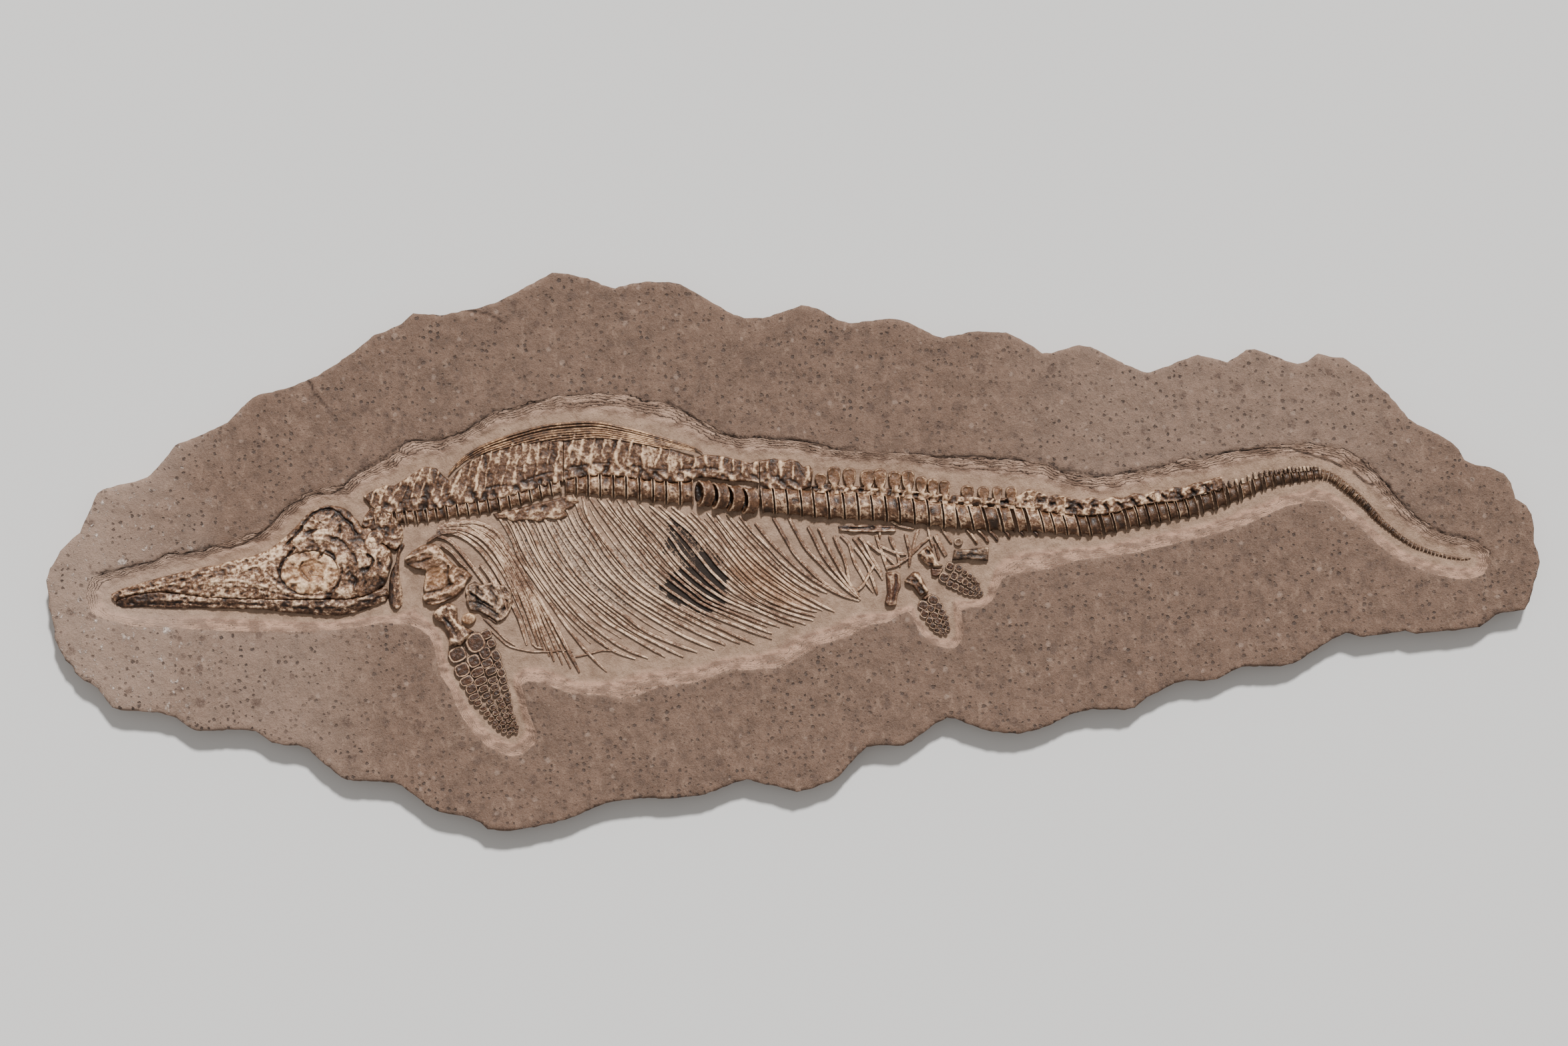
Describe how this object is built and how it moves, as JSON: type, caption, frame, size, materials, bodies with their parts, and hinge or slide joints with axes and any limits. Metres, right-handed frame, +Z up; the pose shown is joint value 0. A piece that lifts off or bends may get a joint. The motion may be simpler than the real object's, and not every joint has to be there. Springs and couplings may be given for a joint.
{
  "type": "fossil ichthyosaur skeleton",
  "caption": "Shale slab with a shallow prepared trough that holds a flattened ichthyosaur skeleton: long-snouted skull, backbone, ribs, paddles and down-bent tail.",
  "frame": {"origin": "centre of the slab's bounding box on its flat underside", "axes": "+X along the slab towards the tail tip, +Y towards the animal's back, +Z up out of the bone side"},
  "size_m": [2.239, 0.8364, 0.0443],
  "materials": {
    "shale": "matte, split and picked clean",
    "bone": "satin, consolidated with a clear coat",
    "rib_bone": "satin, consolidated with a clear coat",
    "skull_bone": "satin, consolidated with a clear coat",
    "dark_bone": "semi-gloss, consolidated with a clear coat",
    "grey_bone": "satin, consolidated with a clear coat"
  },
  "bodies": {
    "root": {"slab": "shale", "skull": "skull_bone", "lower_jaw": "dark_bone", "eye_ring": "dark_bone", "ear_bone": "bone", "neck_boss": "bone", "hyoid_bone": "bone", "shoulder_plate": "bone", "coracoid_plate": "grey_bone", "upper_arm_bone": "dark_bone", "wrist_pebble": "bone", "front_paddle": "dark_bone", "neck_backbone": "bone", "trunk_backbone_front": "bone", "tilted_vertebra_1": "bone", "tilted_vertebra_2": "bone", "tilted_vertebra_3": "bone", "tilted_vertebra_4": "bone", "trunk_backbone_rear": "bone", "tail_backbone_front": "bone", "tail_backbone_middle": "dark_bone", "tail_backbone_rear": "dark_bone", "tail_tip": "dark_bone", "back_tendons": "dark_bone", "front_rib_bundle": "rib_bone", "rib_01": "rib_bone", "rib_02": "rib_bone", "rib_03": "rib_bone", "rib_04": "rib_bone", "rib_05": "rib_bone", "rib_06": "rib_bone", "rib_07": "rib_bone", "rib_08": "rib_bone", "rib_09": "rib_bone", "rib_10": "rib_bone", "rib_11": "rib_bone", "rib_12": "rib_bone", "rib_13": "rib_bone", "rib_14": "rib_bone", "rib_15": "rib_bone", "rib_16": "rib_bone", "rib_17": "rib_bone", "rib_18": "rib_bone", "rib_19": "rib_bone", "rib_20": "rib_bone", "rib_21": "rib_bone", "rib_22": "rib_bone", "rib_23": "rib_bone", "rib_24": "rib_bone", "hind_rib_bundle": "rib_bone", "belly_thread": "rib_bone", "hip_bar": "bone", "hip_rod": "bone", "loose_thigh_bone": "dark_bone", "grey_block_bone": "grey_bone", "ring_bone": "grey_bone", "upper_hind_thigh_bone": "bone", "upper_hind_paddle": "dark_bone", "lower_hind_thigh_bone": "bone", "lower_hind_paddle": "dark_bone"}
  },
  "joints": []
}
